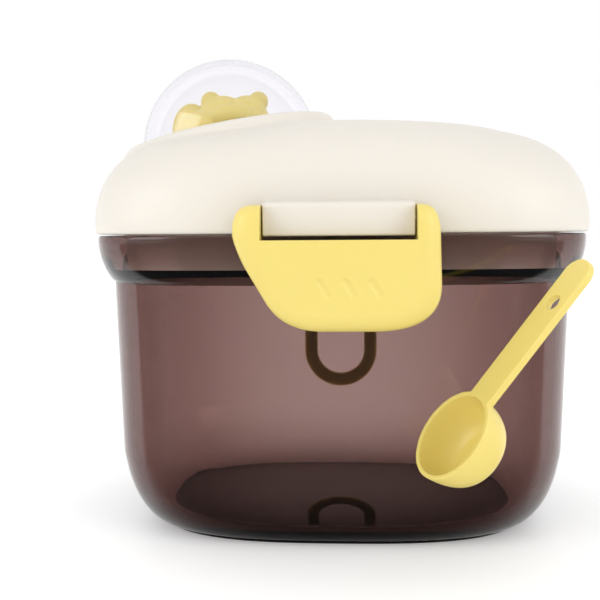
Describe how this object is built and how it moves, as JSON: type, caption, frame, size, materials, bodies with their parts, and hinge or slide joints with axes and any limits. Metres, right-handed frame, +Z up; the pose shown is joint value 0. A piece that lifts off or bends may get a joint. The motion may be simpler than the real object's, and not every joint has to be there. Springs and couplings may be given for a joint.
{
  "type": "formula dispenser",
  "caption": "Rounded smoke-clear box for milk powder with a domed flip lid, a front latch, a rear carry loop, a clear bubble on the lid and a loose measuring scoop.",
  "frame": {"origin": "centre of the container's flat underside", "axes": "+Z up, -Y to the front where the latch is, +X to the right as seen from the front"},
  "size_m": [0.1476, 0.157, 0.1446],
  "materials": {
    "smoke_clear": "tinted transparent brown plastic, polished",
    "cream_plastic": "satin cream plastic",
    "yellow_plastic": "satin pastel yellow plastic",
    "bubble_clear": "clear polished plastic with a faint lavender tint",
    "white_silicone": "matt white silicone",
    "pin_steel": "plain drawn steel"
  },
  "bodies": {
    "box": {"container": "smoke_clear", "hinge_pin": "pin_steel"},
    "lid": {"lid_shell": "cream_plastic", "lid_liner": "cream_plastic", "lid_seal": "white_silicone", "latch_pin": "pin_steel", "bubble": "bubble_clear", "figure": "yellow_plastic"},
    "latch": {"latch": "yellow_plastic"},
    "loop": {"carry_loop": "yellow_plastic"},
    "scoop": {"scoop": "yellow_plastic"}
  },
  "joints": [
    {"name": "lid_hinge", "type": "hinge", "parent": "box", "child": "lid", "pos_m": [0, 0.0675, 0.088], "axis": [-1, 0, 0], "range_deg": [0, 105]},
    {"name": "latch_hinge", "type": "hinge", "parent": "lid", "child": "latch", "pos_m": [0, -0.0645, 0.0923], "axis": [-1, 0, 0], "range_deg": [0, 100]},
    {"name": "loop_hinge", "type": "hinge", "parent": "box", "child": "loop", "pos_m": [0, 0.0675, 0.088], "axis": [1, 0, 0], "range_deg": [-8, 80]},
    {"name": "scoop_slide", "type": "slide", "parent": "box", "child": "scoop", "axis": [0, -1, 0], "range_m": [0, 0.12]}
  ]
}
